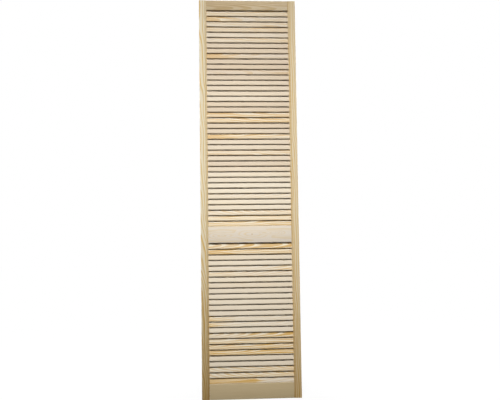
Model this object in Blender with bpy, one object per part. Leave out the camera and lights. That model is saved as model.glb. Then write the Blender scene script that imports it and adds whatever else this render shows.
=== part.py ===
"""Louvred cabinet door in planed pine: two mortised stiles, three dowelled rails and fixed slats.

The door stands upright with its origin at the middle of its bottom edge. X runs across the door,
Y runs through it with the front towards -Y, and Z is up. The slats slope down towards the front.
"""
import math

import bmesh
import bpy
from mathutils import Matrix

# The leaf and its frame
DOOR_HEIGHT = 2.013
DOOR_WIDTH = 0.494
STILE_WIDTH = 0.038
TOP_RAIL_HEIGHT = 0.050
MIDDLE_RAIL_HEIGHT = 0.082
BOTTOM_RAIL_HEIGHT = 0.077
ARRIS_RADIUS = 0.0015

# The hollow moulding along the inner edge of each stile, on both faces
COVE_WIDTH = 0.011
COVE_DEPTH = 0.0025

# The louvre slats: the gap is the clear space between the faces of two neighbours
UPPER_SLATS = 40
LOWER_SLATS = 25
SLAT_WIDTH = 0.031
SLAT_THICKNESS = 0.005
SLAT_EDGE_FLAT = 0.001
SLAT_GAP = 0.0022

# Mortises and dowels: the wall is the wood left in front of and behind a mortise, and the
# cover is the wood left between a dowel's end and the outer edge of the stile
MORTISE_DEPTH = 0.008
MORTISE_WALL = 0.0017
DOWEL_DIAMETER = 0.008
DOWEL_COVER = 0.014
DOWEL_IN_RAIL = 0.020
DOWELS_PER_JOINT = 2

# Room between pieces that touch
FIT_GAP = 0.0003

# Rounds in which the slats' pitch and tilt settle, and how close points are to be welded
LAYOUT_ROUNDS = 20
WELD_DISTANCE = 0.00001

# Every slat with this interval is one solid with the right stile that carries it
JOINED_INTERVAL = 6

# Facets of the rounded forms, and the angle from which an edge is shaded sharp
ARRIS_STEPS = 2
SLAT_EDGE_STEPS = 2
COVE_STEPS = 5
DOWEL_SIDES = 16
SHARP_ANGLE = math.radians(35)

PINE_STILE = (0.72, 0.59, 0.39)
PINE_TOP_RAIL = (0.50, 0.37, 0.20)
PINE_MIDDLE_RAIL = (0.69, 0.56, 0.40)
PINE_BOTTOM_RAIL = (0.40, 0.30, 0.17)
PINE_SLAT = (0.80, 0.69, 0.50)
PINE_ROUGHNESS = 0.55

SLAT_EDGE_RADIUS = (SLAT_THICKNESS - SLAT_EDGE_FLAT) / 2
LENGTH_ALONG_X = Matrix(((0, 0, 1), (1, 0, 0), (0, 1, 0))).to_4x4()


def slat_extent(tilt):
    """Height and depth that one rounded slat takes up when it leans back by tilt."""
    flat_width = SLAT_WIDTH - 2 * SLAT_EDGE_RADIUS
    rise = flat_width * math.cos(tilt) + SLAT_EDGE_FLAT * math.sin(tilt) + 2 * SLAT_EDGE_RADIUS
    run = flat_width * math.sin(tilt) + SLAT_EDGE_FLAT * math.cos(tilt) + 2 * SLAT_EDGE_RADIUS
    return rise, run


def louvre_layout():
    """Pitch and tilt of the slats, which fill both fields and keep the gap between faces."""
    rails = TOP_RAIL_HEIGHT + MIDDLE_RAIL_HEIGHT + BOTTOM_RAIL_HEIGHT
    room = DOOR_HEIGHT - rails - 4 * FIT_GAP
    tilt = 0.0
    for _ in range(LAYOUT_ROUNDS):
        rise = slat_extent(tilt)[0]
        pitch = (room - 2 * rise) / (UPPER_SLATS + LOWER_SLATS - 2)
        tilt = math.asin((SLAT_THICKNESS + SLAT_GAP) / pitch)
    return pitch, tilt


PITCH, TILT = louvre_layout()
SLAT_RISE, SLAT_RUN = slat_extent(TILT)

OPENING_WIDTH = DOOR_WIDTH - 2 * STILE_WIDTH
RAIL_THICKNESS = SLAT_RUN + 2 * FIT_GAP + 2 * MORTISE_WALL
STILE_THICKNESS = RAIL_THICKNESS + 2 * COVE_DEPTH
RAIL_LENGTH = OPENING_WIDTH - 2 * FIT_GAP
SLAT_LENGTH = OPENING_WIDTH + 2 * (MORTISE_DEPTH - FIT_GAP)

UPPER_FIELD = (UPPER_SLATS - 1) * PITCH + SLAT_RISE + 2 * FIT_GAP
TOP_RAIL_Z = DOOR_HEIGHT - TOP_RAIL_HEIGHT / 2
MIDDLE_RAIL_Z = DOOR_HEIGHT - TOP_RAIL_HEIGHT - UPPER_FIELD - MIDDLE_RAIL_HEIGHT / 2
BOTTOM_RAIL_Z = BOTTOM_RAIL_HEIGHT / 2
FIRST_UPPER_Z = DOOR_HEIGHT - TOP_RAIL_HEIGHT - FIT_GAP - SLAT_RISE / 2
FIRST_LOWER_Z = MIDDLE_RAIL_Z - MIDDLE_RAIL_HEIGHT / 2 - FIT_GAP - SLAT_RISE / 2


def pine(name, colour):
    """A plain pine finish in one colour."""
    material = bpy.data.materials.new(name)
    material.use_nodes = True
    shader = material.node_tree.nodes["Principled BSDF"]
    shader.inputs["Base Color"].default_value = (*colour, 1.0)
    shader.inputs["Roughness"].default_value = PINE_ROUGHNESS
    shader.inputs["Metallic"].default_value = 0.0
    material.diffuse_color = (*colour, 1.0)
    return material


def arc(centre_x, centre_y, radius, start, end, steps):
    """Points on a circle from the start angle to the end angle."""
    angles = [start + (end - start) * step / steps for step in range(steps + 1)]
    return [(centre_x + radius * math.cos(a), centre_y + radius * math.sin(a)) for a in angles]


def rounded_outline(thickness, width, radius, steps):
    """A rectangle with rounded corners, run counter-clockwise."""
    x = thickness / 2 - radius
    y = width / 2 - radius
    quarter = math.pi / 2
    corners = ((x, y), (-x, y), (-x, -y), (x, -y))
    points = []
    for number, (corner_x, corner_y) in enumerate(corners):
        start = number * quarter
        points += arc(corner_x, corner_y, radius, start, start + quarter, steps)
    return points


def stile_outline():
    """Section of the left stile: eased outer corners, and a hollow down each inner corner."""
    half = STILE_THICKNESS / 2
    outer = -STILE_WIDTH / 2
    inner = STILE_WIDTH / 2
    corner_x = outer + ARRIS_RADIUS
    corner_y = half - ARRIS_RADIUS
    cove_radius = (COVE_WIDTH ** 2 + COVE_DEPTH ** 2) / (2 * COVE_DEPTH)
    cove_angle = math.asin(COVE_WIDTH / cove_radius)
    cove_y = half - COVE_DEPTH + cove_radius
    quarter = math.pi / 2
    points = arc(corner_x, corner_y, ARRIS_RADIUS, quarter, 2 * quarter, ARRIS_STEPS)
    points += arc(corner_x, -corner_y, ARRIS_RADIUS, 2 * quarter, 3 * quarter, ARRIS_STEPS)
    points += arc(inner, -cove_y, cove_radius, quarter + cove_angle, quarter, COVE_STEPS)
    points += arc(inner, cove_y, cove_radius, 3 * quarter, 3 * quarter - cove_angle, COVE_STEPS)
    return points


def extruded(name, outline, length):
    """Mesh of a flat outline drawn out along Z, centred on the origin."""
    curve = bpy.data.curves.new(name, "CURVE")
    curve.dimensions = "2D"
    curve.fill_mode = "BOTH"
    curve.extrude = length / 2
    spline = curve.splines.new("POLY")
    spline.points.add(len(outline) - 1)
    for point, (x, y) in zip(spline.points, outline):
        point.co = (x, y, 0, 1)
    spline.use_cyclic_u = True
    drawn = bpy.data.objects.new(name, curve)
    bpy.context.scene.collection.objects.link(drawn)
    depsgraph = bpy.context.evaluated_depsgraph_get()
    mesh = bpy.data.meshes.new_from_object(drawn.evaluated_get(depsgraph))
    bpy.data.objects.remove(drawn)
    bpy.data.curves.remove(curve)
    mesh.name = name
    bm = bmesh.new()
    bm.from_mesh(mesh)
    bmesh.ops.remove_doubles(bm, verts=bm.verts, dist=WELD_DISTANCE)
    bmesh.ops.recalc_face_normals(bm, faces=bm.faces)
    bm.to_mesh(mesh)
    bm.free()
    return mesh


def board(name, thickness, width, radius, steps, length):
    """Mesh of a straight board: length along X, thickness along Y and width along Z."""
    mesh = extruded(name, rounded_outline(thickness, width, radius, steps), length)
    mesh.transform(LENGTH_ALONG_X)
    return mesh


def rod(name, diameter, length):
    """Mesh of a round rod along X, centred on the origin."""
    mesh = bpy.data.meshes.new(name)
    bm = bmesh.new()
    bmesh.ops.create_cone(
        bm,
        cap_ends=True,
        segments=DOWEL_SIDES,
        radius1=diameter / 2,
        radius2=diameter / 2,
        depth=length,
        matrix=LENGTH_ALONG_X,
    )
    bm.to_mesh(mesh)
    bm.free()
    return mesh


def add_part(name, mesh, material, location, rotation=(0, 0, 0)):
    """One named piece of the door, shaded smooth with sharp arrises."""
    if not mesh.materials:
        mesh.materials.append(material)
    mesh.shade_smooth()
    mesh.set_sharp_from_angle(angle=SHARP_ANGLE)
    part = bpy.data.objects.new(name, mesh)
    part.location = location
    part.rotation_euler = rotation
    part.parent = leaf
    parts.objects.link(part)
    return part


def add_helper(name, placed_meshes):
    """Copies of meshes at their places, in one object that cuts or joins and isn't shown."""
    gathered = bpy.data.meshes.new(name)
    bm = bmesh.new()
    for mesh, place in placed_meshes:
        copy = mesh.copy()
        copy.transform(place)
        bm.from_mesh(copy)
        bpy.data.meshes.remove(copy)
    bm.to_mesh(gathered)
    bm.free()
    helper = bpy.data.objects.new(name, gathered)
    helper.hide_render = True
    helper.display_type = "WIRE"
    helpers.objects.link(helper)
    return helper


def combine(part, helper, operation):
    """Cut a helper out of a part, or join it on."""
    modifier = part.modifiers.new(helper.name, "BOOLEAN")
    modifier.operation = operation
    modifier.solver = "EXACT"
    modifier.object = helper


def dowel_heights(rail_z, rail_height):
    """Heights of the dowels in one joint, spread evenly over the rail."""
    step = rail_height / DOWELS_PER_JOINT
    return [rail_z + step * (number + 0.5) - rail_height / 2 for number in range(DOWELS_PER_JOINT)]


def slat_rows():
    """Name, height and whether it is joined to the right stile, for each slat from the top."""
    fields = (("upper", UPPER_SLATS, FIRST_UPPER_Z), ("lower", LOWER_SLATS, FIRST_LOWER_Z))
    rows = []
    for field, count, first_z in fields:
        for number in range(1, count + 1):
            joined = number % JOINED_INTERVAL == 0
            rows.append((f"{field}_slat_{number:02d}", first_z - (number - 1) * PITCH, joined))
    return rows


for old in list(bpy.data.objects):
    bpy.data.objects.remove(old)

parts = bpy.data.collections.new("louvred_door")
helpers = bpy.data.collections.new("mortises_and_dowels")
bpy.context.scene.collection.children.link(parts)
bpy.context.scene.collection.children.link(helpers)
leaf = bpy.data.objects.new("leaf", None)
parts.objects.link(leaf)

rails = (
    ("top_rail", TOP_RAIL_Z, TOP_RAIL_HEIGHT, PINE_TOP_RAIL),
    ("middle_rail", MIDDLE_RAIL_Z, MIDDLE_RAIL_HEIGHT, PINE_MIDDLE_RAIL),
    ("bottom_rail", BOTTOM_RAIL_Z, BOTTOM_RAIL_HEIGHT, PINE_BOTTOM_RAIL),
)
slats = slat_rows()
lean = Matrix.Rotation(-TILT, 4, "X")

# Slats, each in a mortise at both ends
slat_pine = pine("slat_pine", PINE_SLAT)
slat_mesh = board(
    "slat", SLAT_THICKNESS, SLAT_WIDTH, SLAT_EDGE_RADIUS, SLAT_EDGE_STEPS, SLAT_LENGTH
)
for slat_name, slat_z, joined in slats:
    if not joined:
        add_part(slat_name, slat_mesh, slat_pine, (0, 0, slat_z), (-TILT, 0, 0))

# Rails, with dowels standing out of both ends and stopping a gap short of their holes
hole_depth = STILE_WIDTH - DOWEL_COVER
dowel_length = DOWEL_IN_RAIL + hole_depth
dowel_x = OPENING_WIDTH / 2 - FIT_GAP - DOWEL_IN_RAIL + dowel_length / 2
dowel_mesh = rod("dowel", DOWEL_DIAMETER, dowel_length)
for rail_name, rail_z, rail_height, rail_colour in rails:
    rail_mesh = board(rail_name, RAIL_THICKNESS, rail_height, ARRIS_RADIUS, ARRIS_STEPS, RAIL_LENGTH)
    rail = add_part(rail_name, rail_mesh, pine(rail_name + "_pine", rail_colour), (0, 0, rail_z))
    dowels = [
        (dowel_mesh, Matrix.Translation((side * dowel_x, 0, height)))
        for side in (-1, 1)
        for height in dowel_heights(rail_z, rail_height)
    ]
    combine(rail, add_helper(rail_name + "_dowels", dowels), "UNION")

# Stiles, mortised for the slats and bored for the dowels
stile_pine = pine("stile_pine", PINE_STILE)
stile_x = (DOOR_WIDTH - STILE_WIDTH) / 2
mortise_mesh = board(
    "mortise",
    SLAT_THICKNESS + 2 * FIT_GAP,
    SLAT_WIDTH + 2 * FIT_GAP,
    SLAT_EDGE_RADIUS + FIT_GAP,
    SLAT_EDGE_STEPS,
    2 * MORTISE_DEPTH,
)
hole_mesh = rod("dowel_hole", DOWEL_DIAMETER + 2 * FIT_GAP, 2 * hole_depth)
for side, stile_name in ((-1, "left_stile"), (1, "right_stile")):
    stile_mesh = extruded(stile_name, stile_outline(), DOOR_HEIGHT)
    stile_turn = (0, 0, 0 if side < 0 else math.pi)
    stile_place = (side * stile_x, 0, DOOR_HEIGHT / 2)
    stile = add_part(stile_name, stile_mesh, stile_pine, stile_place, stile_turn)
    joint_x = side * OPENING_WIDTH / 2
    keeps_joined = side > 0
    mortises = [
        (mortise_mesh, Matrix.Translation((joint_x, 0, slat_z)) @ lean)
        for slat_name, slat_z, joined in slats
        if not (joined and keeps_joined)
    ]
    dowel_holes = [
        (hole_mesh, Matrix.Translation((joint_x, 0, height)))
        for rail_name, rail_z, rail_height, rail_colour in rails
        for height in dowel_heights(rail_z, rail_height)
    ]
    if keeps_joined:
        joined_slats = [
            (slat_mesh, Matrix.Translation((0, 0, slat_z)) @ lean)
            for slat_name, slat_z, joined in slats
            if joined
        ]
        combine(stile, add_helper("joined_slats", joined_slats), "UNION")
    combine(stile, add_helper(stile_name + "_joinery", mortises + dowel_holes), "DIFFERENCE")
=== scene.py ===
"""Looks of the louvred cabinet door: its stiles, rails, dowels and slats again in planed pine.

Lengths are in metres, or in millimetres where a name or a comment says so.
"""
import math
import random

import bmesh
import bpy
from mathutils import Matrix, Vector


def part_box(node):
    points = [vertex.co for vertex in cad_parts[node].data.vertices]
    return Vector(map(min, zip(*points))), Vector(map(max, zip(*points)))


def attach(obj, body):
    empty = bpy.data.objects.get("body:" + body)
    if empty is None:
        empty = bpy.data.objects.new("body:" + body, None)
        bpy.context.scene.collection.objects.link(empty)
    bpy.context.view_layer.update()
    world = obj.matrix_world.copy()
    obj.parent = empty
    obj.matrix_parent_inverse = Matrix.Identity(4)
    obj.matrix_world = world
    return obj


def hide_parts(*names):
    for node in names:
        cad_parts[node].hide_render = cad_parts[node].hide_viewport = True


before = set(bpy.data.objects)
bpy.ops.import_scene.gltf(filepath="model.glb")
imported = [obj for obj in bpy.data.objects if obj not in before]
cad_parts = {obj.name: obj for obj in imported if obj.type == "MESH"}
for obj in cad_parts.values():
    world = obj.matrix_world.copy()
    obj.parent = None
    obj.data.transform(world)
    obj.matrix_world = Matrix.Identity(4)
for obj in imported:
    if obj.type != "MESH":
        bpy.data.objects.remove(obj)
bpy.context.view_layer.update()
scene = bpy.context.scene
scene.view_settings.view_transform = "Standard"

# Camera
# The door is seen from the front through a normal 50 mm lens, from table height and a little to
# the left, tipped up slightly, so that the leaf looks wider towards its foot.
CAMERA_PLACE = (-0.223, -3.490, 0.7275)
CAMERA_TURN_DEGREES = (94.22, 0.766, -3.64)
CAMERA_LENS_MM = 50
CAMERA_SENSOR_MM = 36

camera = bpy.data.objects.new("camera", bpy.data.cameras.new("camera"))
camera.data.lens = CAMERA_LENS_MM
camera.data.sensor_width = CAMERA_SENSOR_MM
camera.location = CAMERA_PLACE
camera.rotation_euler = [math.radians(turn) for turn in CAMERA_TURN_DEGREES]
scene.collection.objects.link(camera)
scene.camera = camera

# Stiles
# Two full-height uprights of planed pine, both darker and browner towards the foot. Each inner
# corner is moulded with a shallow hollow, and the inner edge has a slanted stopped mortise for every
# slat and two dowel holes for every rail, cut by machine before the leaf is glued up.
MM = 0.001
QUARTER_TURN = math.pi / 2
HALF_TURN = math.pi
FULL_TURN = 2 * math.pi
ARRIS_RADIUS = 0.0015
ARRIS_STEPS = 5
COVE_WIDTH = 0.011
COVE_DEPTH = 0.0025
COVE_STEPS = 12
COVE_LIP = 0.001
END_EASE = 0.0005
STILE_CUTS = 40
SMOOTH_ANGLE = math.radians(32)
FIT_GAP = 0.0003
MORTISE_DEPTH = 0.008
SLAT_WIDTH = 0.031
SLAT_THICKNESS = 0.005
SLAT_EDGE_RADIUS = 0.002
SLAT_EDGE_STEPS = 5
SLAT_GAP = 0.0022
SLAT_FIELDS = (("upper", 40), ("lower", 25))
DOWEL_DIAMETER = 0.008
DOWEL_COVER = 0.014
DOWELS_PER_JOINT = 2
HOLE_STEPS = 24
RAIL_NAMES = ("top", "middle", "bottom")

# Where the trunk of the stiles bends aside, from the middle of the board, and over what length
CROOK_PLACE_MM = -330
CROOK_LENGTH_MM = 300

# Each stile's side of the leaf, its turn about the upright, and how it was sawn, as in finish_board. The
# hearts of its two ends make it darker and browner towards the foot.
STILES = {
    "left": {
        "side": -1,
        "turn": 0,
        "spot": (24400, 100, -40),
        "hearts": (0.95, -0.62),
        "slope": 0.015,
        "crook": 18,
        "blush": 0.0,
    },
    "right": {
        "side": 1,
        "turn": HALF_TURN,
        "spot": (2900, 100, 70),
        "hearts": (0.8, -0.6),
        "slope": 0.0,
        "crook": 5,
        "blush": 0.7,
    },
}

stile_low, stile_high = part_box("left_stile")
stile_width = stile_high.x - stile_low.x
stile_thickness = stile_high.y - stile_low.y
door_height = stile_high.z - stile_low.z
opening_width = -2 * stile_high.x
first_slat_low, first_slat_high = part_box("upper_slat_01")
slat_pitch = first_slat_low.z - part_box("upper_slat_02")[0].z
slat_tilt = math.asin((SLAT_THICKNESS + SLAT_GAP) / slat_pitch)


def arc(centre_x, centre_y, radius, start, end, steps):
    """Points on a circle from the start angle to the end angle."""
    angles = [start + (end - start) * step / steps for step in range(steps + 1)]
    return [(centre_x + radius * math.cos(a), centre_y + radius * math.sin(a)) for a in angles]


def board_section(thickness, width, radius, steps):
    """Section of a planed board with rounded arrises, as (thickness, width) points."""
    corner_x = thickness / 2 - radius
    corner_y = width / 2 - radius
    signs = ((1, 1), (-1, 1), (-1, -1), (1, -1))
    points = []
    for corner, (side_x, side_y) in enumerate(signs):
        start = corner * QUARTER_TURN
        points += arc(side_x * corner_x, side_y * corner_y, radius, start, start + QUARTER_TURN, steps)
    return points


def stile_section():
    """Section of the stile, its outer edge towards +width: rounded outside, hollow-moulded inside."""
    half = stile_thickness / 2
    edge = stile_width / 2
    arris_x = half - ARRIS_RADIUS
    arris_y = edge - ARRIS_RADIUS
    cove_radius = (COVE_WIDTH ** 2 + COVE_DEPTH ** 2) / (2 * COVE_DEPTH)
    cove_turn = math.asin(COVE_WIDTH / cove_radius)
    cove_x = half - COVE_DEPTH + cove_radius
    lip = -edge + COVE_WIDTH + COVE_LIP
    points = arc(arris_x, arris_y, ARRIS_RADIUS, 0, QUARTER_TURN, ARRIS_STEPS)
    points += arc(-arris_x, arris_y, ARRIS_RADIUS, QUARTER_TURN, HALF_TURN, ARRIS_STEPS)
    points.append((-half, lip))
    points += arc(-cove_x, -edge, cove_radius, cove_turn, 0, COVE_STEPS)
    points += arc(cove_x, -edge, cove_radius, HALF_TURN, HALF_TURN - cove_turn, COVE_STEPS)
    points.append((half, lip))
    return points


def planed_board(name, section, length, cuts=1, ease=END_EASE):
    """Mesh of a section drawn out along X in a number of lengths, with eased ends."""
    half_x = max(point[0] for point in section)
    half_y = max(point[1] for point in section)
    inner = length / 2 - ease
    stations = [(-length / 2, ease)]
    stations += [(inner * (2 * cut / cuts - 1), 0) for cut in range(cuts + 1)]
    stations.append((length / 2, ease))
    bm = bmesh.new()
    rings = []
    for along, inset in stations:
        shrink_x = 1 - inset / half_x
        shrink_y = 1 - inset / half_y
        rings.append([bm.verts.new((along, x * shrink_x, y * shrink_y)) for x, y in section])
    for near, far in zip(rings, rings[1:]):
        for number in range(len(section)):
            before = number - 1
            bm.faces.new((near[before], near[number], far[number], far[before]))
    bm.faces.new(rings[0])
    bm.faces.new(rings[-1])
    bmesh.ops.recalc_face_normals(bm, faces=bm.faces)
    mesh = bpy.data.meshes.new(name)
    bm.to_mesh(mesh)
    bm.free()
    return mesh


def add_piece(name, mesh, place, slot, *nodes):
    """One piece of the leaf, standing for its CAD nodes, which it hides. The slot is not used."""
    piece = bpy.data.objects.new(name, mesh)
    piece.matrix_world = place
    scene.collection.objects.link(piece)
    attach(piece, "root")
    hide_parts(*nodes)
    return piece


def cut_out(piece, shapes):
    """Cut closed shapes, given as meshes with their places, out of a piece."""
    bm = bmesh.new()
    for mesh, place in shapes:
        copy = mesh.copy()
        copy.transform(place)
        bm.from_mesh(copy)
        bpy.data.meshes.remove(copy)
    gathered = bpy.data.meshes.new("cutter")
    bm.to_mesh(gathered)
    bm.free()
    cutter = bpy.data.objects.new("cutter", gathered)
    scene.collection.objects.link(cutter)
    modifier = piece.modifiers.new("joinery", "BOOLEAN")
    modifier.solver = "EXACT"
    modifier.object = cutter
    depsgraph = bpy.context.evaluated_depsgraph_get()
    whole = piece.data
    piece.data = bpy.data.meshes.new_from_object(piece.evaluated_get(depsgraph))
    piece.modifiers.clear()
    bpy.data.objects.remove(cutter)
    bpy.data.meshes.remove(gathered)
    bpy.data.meshes.remove(whole)


def board_arris(thickness, width, radius):
    """How far a point of a board's section lies on a rounded arris: 0 on the flats, 1 at the corner."""
    at_corner = math.cos(QUARTER_TURN / 2)

    def share(x, y):
        on_x = (abs(x) - thickness / 2) / radius + 1
        on_y = (abs(y) - width / 2) / radius + 1
        return max(0.0, min(on_x, on_y, 1.0)) / at_corner

    return share


def stile_wear_and_hollow_shade(x, y):
    """The same for the stile: 1 on its outer arrises and its lips, and -1 in its two hollows, where shade
    is painted in as a darker tint.
    """
    from_lip = y + stile_width / 2 - COVE_WIDTH
    if y > 0:
        return board_arris(stile_thickness, stile_width, ARRIS_RADIUS)(x, y)
    return -1.0 if from_lip < -COVE_LIP / 2 else max(0.0, 1 - abs(from_lip) / COVE_LIP)


def finish_board(piece, material, wear_and_hollow_shade, trunk_spot, hearts, slope=0.0, crook=0.0, blush=0.0):
    """Give a board its finish, and note where it was sawn from the trunk.

    wear tells how rubbed a point of its section is, and below 0 how much shade is painted into it as a
    darker tint. trunk_spot is the middle of the board in the trunk in millimetres: along it, away from
    the pith through the board's thickness, and away from the pith along its width. hearts is how much
    heartwood its two ends have, slope is how fast the grain runs out through its thickness, crook is how
    far the trunk bends aside in millimetres below the board's middle, and blush is how far its plank
    leans to the warmer tone of its stock.
    """
    mesh = piece.data
    mesh.materials.clear()
    mesh.materials.append(material)
    mesh.shade_smooth()
    mesh.set_sharp_from_angle(angle=SMOOTH_ANGLE)
    start, depth, side = trunk_spot
    half = max(vertex.co.x for vertex in mesh.vertices)
    trunk = []
    heart = []
    # Rub mask for each point, below 0 where shade is painted into a hollow
    wear_and_shade_values = []
    for vertex in mesh.vertices:
        along, thick, wide = vertex.co / MM
        bend = crook * math.atan((along - CROOK_PLACE_MM) / CROOK_LENGTH_MM)
        trunk += [start + along, depth + thick + slope * along + bend, side + wide]
        heart.append(hearts[0] + (hearts[1] - hearts[0]) * (vertex.co.x / half + 1) / 2)
        wear_and_shade_values.append(min(1.0, wear_and_hollow_shade(vertex.co.y, vertex.co.z)))
    mesh.attributes.new("trunk", "FLOAT_VECTOR", "POINT").data.foreach_set("vector", trunk)
    mesh.attributes.new("heart", "FLOAT", "POINT").data.foreach_set("value", heart)
    mesh.attributes.new("wear_and_hollow_shade", "FLOAT", "POINT").data.foreach_set("value", wear_and_shade_values)
    mesh.attributes.new("blush", "FLOAT", "POINT").data.foreach_set("value", [blush] * len(wear_and_shade_values))


def linear(hex_colour):
    """Linear red, green, blue and alpha of an sRGB hex colour."""
    parts = [int(hex_colour[place:place + 2], 16) / 255 for place in (1, 3, 5)]
    return [part / 12.92 if part <= 0.04045 else ((part + 0.055) / 1.055) ** 2.4 for part in parts] + [1]


def add_node(tree, kind, inputs, **settings):
    """One shader node: settings are its own, and inputs are values, or nodes or sockets to link."""
    node = tree.nodes.new("ShaderNode" + kind)
    for setting, value in settings.items():
        setattr(node, setting, value)
    shown = [socket for socket in node.inputs if socket.enabled]
    for key, value in inputs.items():
        socket = shown[key] if isinstance(key, int) else next(s for s in shown if s.name == key)
        if isinstance(value, bpy.types.Node):
            value = next(out for out in value.outputs if out.enabled)
        if isinstance(value, bpy.types.NodeSocket):
            tree.links.new(value, socket)
        else:
            socket.default_value = value
    return node


def bare_wood(
    name, sapwood, heartwood, ring_mm, wander_mm, contrast, warm="#FFFFFF", patchy=1.0, knots=()
):
    """Planed and sanded wood without a finish: pale earlywood that shades into a narrow darker line
    of latewood each year, long fibres, and a dull surface that is paler on its rubbed arrises, with
    shade painted into its hollows as a darker tint.

    sapwood and heartwood are each a pair of colours, of earlywood and latewood, and warm tints boards
    with a blush. ring_mm is the width of a year's growth, wander_mm is how far the rings stray from
    a circle, contrast is how dark the latewood is, and patchy is how unevenly the heartwood comes in.
    Each of the knots is its place in the trunk, the reach of its swirl and the radius of its core.
    """
    material = bpy.data.materials.new(name)
    material.use_nodes = True
    tree = material.node_tree
    shader = tree.nodes["Principled BSDF"]
    trunk = add_node(tree, "Attribute", {}, attribute_name="trunk").outputs["Vector"]
    heart, wear_and_hollow_shade, blush = [
        add_node(tree, "Attribute", {}, attribute_name=note).outputs["Fac"]
        for note in ("heart", "wear_and_hollow_shade", "blush")
    ]

    # Noises drawn out along the grain: the wander of the rings, slow drift of tone, streaks and fibres.
    # Each has a length, depth and width in millimetres and an amount of detail. Real fibres are far
    # finer, and are drawn this coarse so that they show.
    wander_grain = (280, 90, 90, 1.5)
    drift_grain = (420, 30, 30, 2)
    streak_grain = (170, 5, 5, 2)
    fibre_grain = (55, 0.9, 0.9, 3)
    noises = []
    for *size, detail in (wander_grain, drift_grain, streak_grain, fibre_grain):
        stretched = add_node(
            tree, "VectorMath", {0: trunk, 1: [1 / length for length in size]}, operation="MULTIPLY"
        )
        noises.append(add_node(tree, "TexNoise", {"Vector": stretched, "Scale": 1, "Detail": detail}))
    wander, drift, streak, fibre = noises

    # Growth rings round the pith, pushed aside by the wander and round each knot's slim swirl
    across_grain = (0, 1, 1)
    swirl_slimness = (1, 4, 4)
    swirl_push = 3 * ring_mm
    across = add_node(tree, "VectorMath", {0: trunk, 1: across_grain}, operation="MULTIPLY")
    pith = add_node(tree, "VectorMath", {0: across}, operation="LENGTH").outputs["Value"]
    radius = add_node(tree, "Math", {0: wander, 1: wander_mm, 2: pith}, operation="MULTIPLY_ADD")
    cores = []
    for *centre, reach, core_radius in knots:
        aside = add_node(tree, "VectorMath", {0: trunk, 1: centre}, operation="SUBTRACT")
        eye = add_node(tree, "VectorMath", {0: aside}, operation="LENGTH").outputs["Value"]
        slim = add_node(tree, "VectorMath", {0: aside, 1: swirl_slimness}, operation="MULTIPLY")
        away = add_node(tree, "VectorMath", {0: slim}, operation="LENGTH").outputs["Value"]
        push = add_node(
            tree,
            "MapRange",
            {"Value": away, "From Max": reach, "To Min": swirl_push, "To Max": 0},
            interpolation_type="SMOOTHSTEP",
        )
        radius = add_node(tree, "Math", {0: radius, 1: push}, operation="ADD")
        core_span = {"From Min": core_radius / 2, "From Max": core_radius}
        cores.append(add_node(tree, "MapRange", {"Value": eye, **core_span, "To Min": 1, "To Max": 0}))

    # Heartwood comes in softly, and its latewood starts earlier in the year and is broader. The year's
    # parts at which latewood starts and is full are given for sapwood and for heartwood.
    drift_share = 0.6 * patchy
    streak_share = 0.5 * patchy
    ripest = 1.4
    softness = 2
    latewood_starts = (0.45, 0.05)
    latewood_full = (0.85, 0.4)
    drifted = add_node(tree, "Math", {0: drift, 1: drift_share, 2: heart}, operation="MULTIPLY_ADD")
    streaked = add_node(tree, "Math", {0: streak, 1: streak_share, 2: drifted}, operation="MULTIPLY_ADD")
    mean_share = (drift_share + streak_share) / 2
    evened = add_node(tree, "Math", {0: streaked, 1: mean_share}, operation="SUBTRACT")
    held = add_node(tree, "Clamp", {"Value": evened, "Min": 0, "Max": ripest})
    ripe = add_node(tree, "Math", {0: held, 1: softness}, operation="POWER")
    onset, full = [
        add_node(tree, "MapRange", {"Value": ripe, "To Min": in_sap, "To Max": in_heart}, clamp=False)
        for in_sap, in_heart in (latewood_starts, latewood_full)
    ]

    # Each year runs from spring at 0 to winter at 1, no two years have equally dark latewood, and its
    # lines are broken where a streak is pale
    winter_start = 0.92
    weakest_year = 0.7
    broken_streak = 0.3
    whole_streak = 0.6
    broken_share = 0.7
    years = add_node(tree, "Math", {0: radius, 1: ring_mm}, operation="DIVIDE")
    season = add_node(tree, "Math", {0: years}, operation="FRACT")
    year = add_node(tree, "Math", {0: years}, operation="FLOOR")
    vigour = add_node(tree, "TexWhiteNoise", {"W": year}, noise_dimensions="1D").outputs["Value"]
    summer = add_node(
        tree,
        "MapRange",
        {"Value": season, "From Min": onset, "From Max": full},
        interpolation_type="SMOOTHSTEP",
    )
    winter = add_node(
        tree, "MapRange", {"Value": season, "From Min": winter_start, "To Min": 1, "To Max": 0}
    )
    dark = add_node(tree, "Math", {0: summer, 1: winter}, operation="MULTIPLY")
    strong = add_node(
        tree, "MapRange", {"Value": vigour, "To Min": weakest_year * contrast, "To Max": contrast}
    )
    broken = add_node(
        tree,
        "MapRange",
        {"Value": streak, "From Min": broken_streak, "From Max": whole_streak, "To Min": broken_share},
    )
    for share in (strong, broken):
        dark = add_node(tree, "Math", {0: dark, 1: share}, operation="MULTIPLY")
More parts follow.
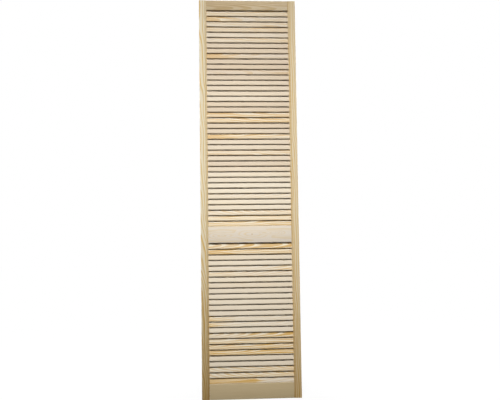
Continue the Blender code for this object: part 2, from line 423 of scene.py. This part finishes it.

    # Colour: the two woods, their latewood lines, fibres, the plank's tone, painted shade in the hollows,
    # arrises and knots
    fibre_span = {"From Min": 0.3, "From Max": 0.7}
    fibre_shades = {"To Min": 0.93, "To Max": 1.05}
    # Tint that paints shade into the stiles' hollows
    painted_hollow_shade_tint = "#EDE6D9"
    rubbed_colour = "#E3D2B4"
    knot_colour = "#CDB68F"
    spring_colour, summer_colour = [
        add_node(tree, "Mix", {"Factor": ripe, "A": linear(sap), "B": linear(ripened)}, data_type="RGBA")
        for sap, ripened in zip(sapwood, heartwood)
    ]
    colour = add_node(
        tree, "Mix", {"Factor": dark, "A": spring_colour, "B": summer_colour}, data_type="RGBA"
    )
    shade = add_node(tree, "MapRange", {"Value": fibre, **fibre_span, **fibre_shades})
    colour = add_node(tree, "VectorMath", {0: colour, "Scale": shade}, operation="SCALE")
    # Painted shade: where the mask is below 0, in the stiles' hollows, this tint darkens the colour
    painted_hollow_shade = add_node(tree, "Math", {0: wear_and_hollow_shade, 1: -1}, operation="MULTIPLY", use_clamp=True)
    rubbed = add_node(tree, "Math", {0: wear_and_hollow_shade, 1: fibre}, operation="MULTIPLY", use_clamp=True)
    layers = [
        ("MULTIPLY", blush, warm),
        ("MULTIPLY", painted_hollow_shade, painted_hollow_shade_tint),
        ("MIX", rubbed, rubbed_colour),
    ]
    layers += [("MIX", core, knot_colour) for core in cores]
    for blend, share, layer in layers:
        tones = {"Factor": share, "A": colour, "B": linear(layer)}
        colour = add_node(tree, "Mix", tones, data_type="RGBA", blend_type=blend)
    tree.links.new(colour.outputs["Result"], shader.inputs["Base Color"])

    # Latewood is denser, so it is a little shinier and stands a hair proud of the sanded earlywood
    earlywood_roughness = 0.62
    latewood_roughness = 0.5
    latewood_rise = 0.5
    grain_depth = 0.08 * MM
    grain_strength = 0.35
    wood_ior = 1.5
    wood_gloss = 0.3
    dull = add_node(
        tree, "MapRange", {"Value": dark, "To Min": earlywood_roughness, "To Max": latewood_roughness}
    )
    tree.links.new(dull.outputs["Result"], shader.inputs["Roughness"])
    relief = add_node(tree, "Math", {0: dark, 1: latewood_rise, 2: fibre}, operation="MULTIPLY_ADD")
    bump = add_node(tree, "Bump", {"Height": relief, "Strength": grain_strength, "Distance": grain_depth})
    tree.links.new(bump.outputs["Normal"], shader.inputs["Normal"])
    shader.inputs["IOR"].default_value = wood_ior
    shader.inputs["Specular IOR Level"].default_value = wood_gloss
    return material


# Planed pine: pale and dull, with broad honey-coloured latewood, and tan all over near the heart
stile_pine = bare_wood(
    "planed_pine_stiles",
    sapwood=("#E2D6B9", "#D0A853"),
    heartwood=("#A5884F", "#856535"),
    ring_mm=5.5,
    wander_mm=24,
    contrast=1.0,
    warm="#FBF4EA",
    patchy=0.4,
)
slat_lean = Matrix.Rotation(-slat_tilt, 4, "X")
slat_places = {}
for field, count in SLAT_FIELDS:
    slat_low, slat_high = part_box(field + "_slat_01")
    for number in range(count):
        height = (slat_low.z + slat_high.z) / 2 - number * slat_pitch
        slat_places[f"{field}_slat_{number + 1:02d}"] = Matrix.Translation((0, 0, height)) @ slat_lean
dowel_heights = []
for rail in RAIL_NAMES:
    rail_low, rail_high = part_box(rail + "_rail")
    step = (rail_high.z - rail_low.z) / DOWELS_PER_JOINT
    dowel_heights += [rail_low.z + step * (number + 0.5) for number in range(DOWELS_PER_JOINT)]
mortise_outline = board_section(
    SLAT_THICKNESS + 2 * FIT_GAP, SLAT_WIDTH + 2 * FIT_GAP, SLAT_EDGE_RADIUS + FIT_GAP, SLAT_EDGE_STEPS
)
mortise_mesh = planed_board("mortise", mortise_outline, 2 * MORTISE_DEPTH)
hole_outline = arc(0, 0, DOWEL_DIAMETER / 2 + FIT_GAP, 0, FULL_TURN, HOLE_STEPS)[:-1]
hole_depth = stile_width - DOWEL_COVER
hole_mesh = planed_board("dowel_hole", hole_outline, 2 * hole_depth)
for hand, look in STILES.items():
    side = look["side"]
    middle = Matrix.Translation((side * (opening_width + stile_width) / 2, 0, door_height / 2))
    upright = Matrix.Rotation(look["turn"], 4, "Z") @ Matrix.Rotation(-QUARTER_TURN, 4, "Y")
    stile = add_piece(
        "stile_" + hand,
        planed_board("stile_" + hand, stile_section(), door_height, STILE_CUTS),
        middle @ upright,
        "stile_pine",
        hand + "_stile",
    )
    inner_edge = Matrix.Translation((side * opening_width / 2, 0, 0))
    joinery = [(mortise_mesh, inner_edge @ place) for place in slat_places.values()]
    holes = [inner_edge @ Matrix.Translation((0, 0, height)) for height in dowel_heights]
    joinery += [(hole_mesh, hole) for hole in holes]
    cut_out(stile, joinery)
    finish_board(
        stile,
        stile_pine,
        stile_wear_and_hollow_shade,
        look["spot"],
        look["hearts"],
        look["slope"],
        look["crook"],
        look["blush"],
    )

# Rails
# Three pine boards across the leaf, thinner than the stiles so that they lie just below the hollows,
# each in its own tone: tan at the top, pale and figured in the middle, plain and darker brown at the
# foot.
# They are planed, their arrises are eased, and both ends are bored for the dowels.
DOWEL_IN_RAIL = 0.020

# Each rail's wood, and how it was sawn, as in finish_board. A knot is its place along and across the
# board from its middle, the reach of its swirl and the radius of its core, in millimetres.
RAILS = {
    "top": {
        "sapwood": ("#D4C2A2", "#BA9A62"),
        "heartwood": ("#C4AE86", "#A4865A"),
        "hearts": (0.8, 0.5),
        "spot": (300, 46, 14),
        "slope": 0.03,
        "ring_mm": 4,
        "wander_mm": 10,
        "contrast": 0.8,
        "knots": (),
    },
    "middle": {
        "sapwood": ("#E0D4C3", "#DCC494"),
        "heartwood": ("#E0D4C3", "#DCC494"),
        "hearts": (0.0, 0.0),
        "spot": (5200, 90, 4),
        "slope": 0.012,
        "ring_mm": 8,
        "wander_mm": 18,
        "contrast": 0.7,
        "knots": ((10, 0, 130, 5), (75, 8, 50, 1.5), (130, 6, 60, 1.5), (-141, -6, 90, 1.5)),
    },
    "bottom": {
        "sapwood": ("#C2AF8A", "#AC9266"),
        "heartwood": ("#B69E74", "#967A4C"),
        "hearts": (0.3, 0.3),
        "spot": (7600, 9, 70),
        "slope": 0.0,
        "ring_mm": 2.6,
        "wander_mm": 6,
        "contrast": 0.4,
        "knots": (),
    },
}

rail_length = opening_width - 2 * FIT_GAP
rail_hole_mesh = planed_board("rail_hole", hole_outline, 2 * DOWEL_IN_RAIL)
for row, (rail, look) in enumerate(RAILS.items()):
    rail_low, rail_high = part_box(rail + "_rail")
    thickness = rail_high.y - rail_low.y
    height = rail_high.z - rail_low.z
    rail_outline = board_section(thickness, height, ARRIS_RADIUS, ARRIS_STEPS)
    piece = add_piece(
        "rail_" + rail,
        planed_board("rail_" + rail, rail_outline, rail_length),
        Matrix.Translation((0, 0, (rail_low.z + rail_high.z) / 2)),
        rail + "_rail_pine",
        rail + "_rail",
    )
    holes = dowel_heights[row * DOWELS_PER_JOINT:(row + 1) * DOWELS_PER_JOINT]
    ends = [(end * rail_length / 2, 0, hole) for end in (-1, 1) for hole in holes]
    cut_out(piece, [(rail_hole_mesh, Matrix.Translation(end)) for end in ends])
    start, depth, side = look["spot"]
    face = depth - thickness / 2 / MM

    # Planed pine as in the stiles, in the rail's own tone
    pine = bare_wood(
        "planed_pine_" + rail + "_rail",
        look["sapwood"],
        look["heartwood"],
        look["ring_mm"],
        look["wander_mm"],
        look["contrast"],
        knots=[(start + x, face + look["slope"] * x, side + z, *knot) for x, z, *knot in look["knots"]],
    )
    wear_and_hollow_shade = board_arris(thickness, height, ARRIS_RADIUS)
    finish_board(piece, pine, wear_and_hollow_shade, look["spot"], look["hearts"], look["slope"])

# Dowels
# Two beech pins join each rail end to its stile. They are turned with flutes that let the glue out of
# the hole, their ends are chamfered to start them, and they are hidden once the leaf is glued up.
DOWEL_FLUTES = 12
DOWEL_FLUTE_DEPTH = 0.0004
DOWEL_CHAMFER = 0.0012
DOWEL_STEPS = 96
DOWEL_STRIDE_MM = 90
DOWEL_OFF_PITH_MM = 30


def dowel_wear(x, y):
    """A dowel lies in its hole, where nothing rubs it."""
    return 0.0


# Turned beech: even pinkish tan with fine rings that hardly show
beech = bare_wood(
    "turned_beech_dowels",
    sapwood=("#C9A27C", "#B88E66"),
    heartwood=("#C9A27C", "#B88E66"),
    ring_mm=1.6,
    wander_mm=2,
    contrast=0.5,
)
dowel_length = hole_depth + DOWEL_IN_RAIL - 2 * FIT_GAP
dowel_middle = opening_width / 2 + (hole_depth - DOWEL_IN_RAIL) / 2
dowel_outline = []
for step in range(DOWEL_STEPS):
    angle = FULL_TURN * step / DOWEL_STEPS
    flute = DOWEL_FLUTE_DEPTH * (1 + math.cos(DOWEL_FLUTES * angle)) / 2
    radius = DOWEL_DIAMETER / 2 - flute
    dowel_outline.append((radius * math.cos(angle), radius * math.sin(angle)))
for number, height in enumerate(dowel_heights):
    rail = RAIL_NAMES[number // DOWELS_PER_JOINT]
    for side, hand in ((-1, "left"), (1, "right")):
        dowel = add_piece(
            f"dowel_{rail}_{hand}_{number % DOWELS_PER_JOINT + 1}",
            planed_board("dowel", dowel_outline, dowel_length, ease=DOWEL_CHAMFER),
            Matrix.Translation((side * dowel_middle, 0, height)),
            rail + "_rail_pine",
            rail + "_rail",
        )
        spot = (number * DOWEL_STRIDE_MM, DOWEL_OFF_PITH_MM, side * DOWEL_OFF_PITH_MM)
        finish_board(dowel, beech, dowel_wear, spot, (0, 0))

# Slats
# Sixty-five thin pine laths with rounded edges, each glued into a mortise at both ends and leaning
# back at its top. They are sawn from mixed stock: most are plain cream sapwood, and some are cut flat
# through honey-coloured heartwood and show broad flames.
SLAT_CUTS = 12
SLAT_BOW = 0.0004
SLAT_STRIDE_MM = 700
STOCK_SEED = 65

# Slats with a figure, counted from the top: the heartwood at the left and at the right end, the slope
# of the grain, and the place in the trunk across the slat and through it in millimetres
FIGURED_SLATS = {
    1: (0.72, 0.72, 0.01, -18, 46),
    2: (1.6, -1.4, 0.02, 8, 48.4),
    3: (0.65, 0.6, 0.01, 18, 46),
    4: (0.7, 0.68, 0.01, -18, 46),
    6: (0.3, 0.8, -0.02, -14, 46),
    9: (1.5, -0.6, 0.02, -8, 46),
    12: (0.0, 0.5, 0.02, 10, 49),
    20: (0.9, 0.8, -0.015, -12, 48.4),
    21: (0.8, 0.9, -0.02, -10, 46.8),
    24: (1.2, 0.6, 0.015, -14, 46),
    27: (0.55, 0.55, 0.01, 18, 46),
    35: (0.3, 0.3, 0.07, -14, 46),
    38: (0.45, 0.55, -0.07, -14, 46),
    39: (0.72, 0.74, 0.01, -18, 46),
    40: (0.8, 0.9, 0.01, -16, 46),
    41: (0.9, 0.95, 0.04, -6, 46.8),
    42: (1.05, 0.75, 0.015, -14, 47.6),
    45: (-1.0, 0.8, 0.03, -14, 46),
    46: (0.7, 0.4, 0.05, -14, 46),
    54: (1.0, -1.2, 0.03, -14, 46),
    55: (1.0, -1.6, 0.03, -14, 49),
    57: (0.5, 1.0, 0.05, -10, 46),
    58: (0.8, 0.7, 0.01, -10, 46),
    59: (0.85, 0.8, 0.03, -16, 46),
    60: (1.1, 1.0, 0.03, -14, 46),
    63: (0.5, 0.8, -0.06, -14, 46),
    64: (0.6, 0.85, -0.07, -14, 46),
    65: (5.4, -2.4, 0.02, -8, 46.8),
}

# The other slats are cut across the rings well away from the pith, at random within these limits
PLAIN_HEART = (0, 0.4)
PLAIN_SLOPE = (-0.02, 0.02)
PLAIN_DEPTH_MM = (5, 25)
PLAIN_SIDE_MM = (50, 90)

# Tone of a slat's plank: some are pinkish, the others are warm down to the last warm one, then pale
PINK_SLATS = (7, 8, 9, 10, 11, 12, 13, 14, 18, 19, 22, 23, 29)
LAST_WARM_SLAT = 30
PINK_BLUSH = (0.7, 1.0)
WARM_BLUSH = (0.4, 0.7)
PALE_BLUSH = (0.1, 0.4)

slat_length = first_slat_high.x - first_slat_low.x

# Planed pine: cream with rings that hardly show, and gold latewood where it was cut flat
slat_pine = bare_wood(
    "planed_pine_slats",
    sapwood=("#DAD0BE", "#CFBD9C"),
    heartwood=("#E8DEC4", "#C2963A"),
    ring_mm=3.8,
    wander_mm=13,
    contrast=1.0,
    warm="#EAE1D9",
)
stock = random.Random(STOCK_SEED)
slat_outline = board_section(SLAT_THICKNESS, SLAT_WIDTH, SLAT_EDGE_RADIUS, SLAT_EDGE_STEPS)
slat_arris = board_arris(SLAT_THICKNESS, SLAT_WIDTH, SLAT_EDGE_RADIUS)
for number, (node, place) in enumerate(slat_places.items(), 1):
    mesh = planed_board(node, slat_outline, slat_length, SLAT_CUTS)
    bow = stock.uniform(-SLAT_BOW, SLAT_BOW)
    for vertex in mesh.vertices:
        vertex.co.y += bow * (1 - (2 * vertex.co.x / slat_length) ** 2)
    stands_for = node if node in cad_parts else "right_stile"
    slat = add_piece("slat_" + node.replace("_slat", ""), mesh, place, "slat_pine", stands_for)
    start = number * SLAT_STRIDE_MM
    if number in FIGURED_SLATS:
        *hearts, slope, side, depth = FIGURED_SLATS[number]
        spot = (start, depth, side)
    else:
        hearts = (stock.uniform(*PLAIN_HEART), stock.uniform(*PLAIN_HEART))
        slope = stock.uniform(*PLAIN_SLOPE)
        spot = (start, stock.uniform(*PLAIN_DEPTH_MM), stock.uniform(*PLAIN_SIDE_MM))
    if number in PINK_SLATS:
        blush = stock.uniform(*PINK_BLUSH)
    else:
        blush = stock.uniform(*(WARM_BLUSH if number <= LAST_WARM_SLAT else PALE_BLUSH))
    finish_board(slat, slat_pine, slat_arris, spot, hearts, slope, blush=blush)

# Studio
# A pale paper floor that is white to the eye but keeps the door's shadow, and a white surround. The
# main light is a soft box with a grid, high in front of the leaf. A weak one low in front lifts the
# shadows near the top, and three more light the edges and the back.
WHITE = "#FFFFFF"
AMBIENT_STRENGTH = 0.02
WHITE_STRENGTH = 1
FLOOR_SIZE = 60
FLOOR_COLOUR = "#3A3A3A"
FLOOR_GLOW = {"From Min": 0.3, "From Max": 1, "To Min": 0.93, "To Max": WHITE_STRENGTH}

# Each lamp's place, the point it is turned to, its size, its spread in degrees and its power in watts
LAMPS = {
    "key": ((-0.3, -2.9, 4.45), (0, 0, 0.51), (1.0, 0.8), 44, 20.5),
    "fill": ((0.3, -2.6, 0.9), (0, 0, 2.0), (0.6, 0.6), 24, 0.12),
    "back": ((0.6, 3.2, 0.8), (0, 0, 1.0), (1.6, 1.2), 90, 14),
    "left": ((-2.6, 0.5, 1.5), (0, 0, 1.0), (1.2, 1.2), 90, 14),
    "right": ((2.6, 0.5, 1.5), (0, 0, 1.0), (1.2, 1.2), 90, 14),
}

for name, (place, target, size, spread, power) in LAMPS.items():
    lamp = bpy.data.lights.new(name, "AREA")
    lamp.shape = "RECTANGLE"
    lamp.size, lamp.size_y = size
    lamp.spread = math.radians(spread)
    lamp.energy = power
    holder = bpy.data.objects.new(name, lamp)
    holder.location = place
    holder.rotation_euler = (Vector(target) - Vector(place)).to_track_quat("-Z", "Y").to_euler()
    scene.collection.objects.link(holder)

floor_mesh = bpy.data.meshes.new("floor")
bm = bmesh.new()
bmesh.ops.create_grid(bm, x_segments=1, y_segments=1, size=FLOOR_SIZE / 2)
bm.to_mesh(floor_mesh)
bm.free()
floor = bpy.data.objects.new("floor", floor_mesh)
scene.collection.objects.link(floor)

# Surround and floor both shine where the eye sees them: straight, in a reflection or through glass
surround = bpy.data.worlds.new("white_surround")
paper = bpy.data.materials.new("pale_paper_floor")
seen = {}
for backdrop in (surround, paper):
    backdrop.use_nodes = True
    tree = backdrop.node_tree
    tree.nodes.clear()
    ray = add_node(tree, "LightPath", {})
    eye = ray.outputs["Is Camera Ray"]
    for path in ("Is Glossy Ray", "Is Transmission Ray"):
        eye = add_node(tree, "Math", {0: eye, 1: ray.outputs[path]}, operation="MAXIMUM")
    seen[backdrop] = eye

tree = surround.node_tree
ambient = add_node(tree, "Background", {"Color": linear(WHITE), "Strength": AMBIENT_STRENGTH})
bright = add_node(tree, "Background", {"Color": linear(WHITE), "Strength": WHITE_STRENGTH})
mixed = add_node(tree, "MixShader", {0: seen[surround], 1: ambient, 2: bright})
add_node(tree, "OutputWorld", {"Surface": mixed})
scene.world = surround

# Matt paper: its glow makes it white to the eye, a little less so at the door's foot, and its own
# colour is kept dark, so that it throws little light up at the leaf
tree = paper.node_tree
spot = add_node(tree, "TexCoord", {}).outputs["Object"]
away = add_node(tree, "VectorMath", {0: spot}, operation="LENGTH").outputs["Value"]
glow = add_node(tree, "MapRange", {"Value": away, **FLOOR_GLOW})
glow = add_node(tree, "Math", {0: glow, 1: seen[paper]}, operation="MULTIPLY")
matt = add_node(tree, "BsdfDiffuse", {"Color": linear(FLOOR_COLOUR)})
light = add_node(tree, "Emission", {"Color": linear(WHITE), "Strength": glow})
both = add_node(tree, "AddShader", {0: matt, 1: light})
add_node(tree, "OutputMaterial", {"Surface": both})
floor_mesh.materials.append(paper)
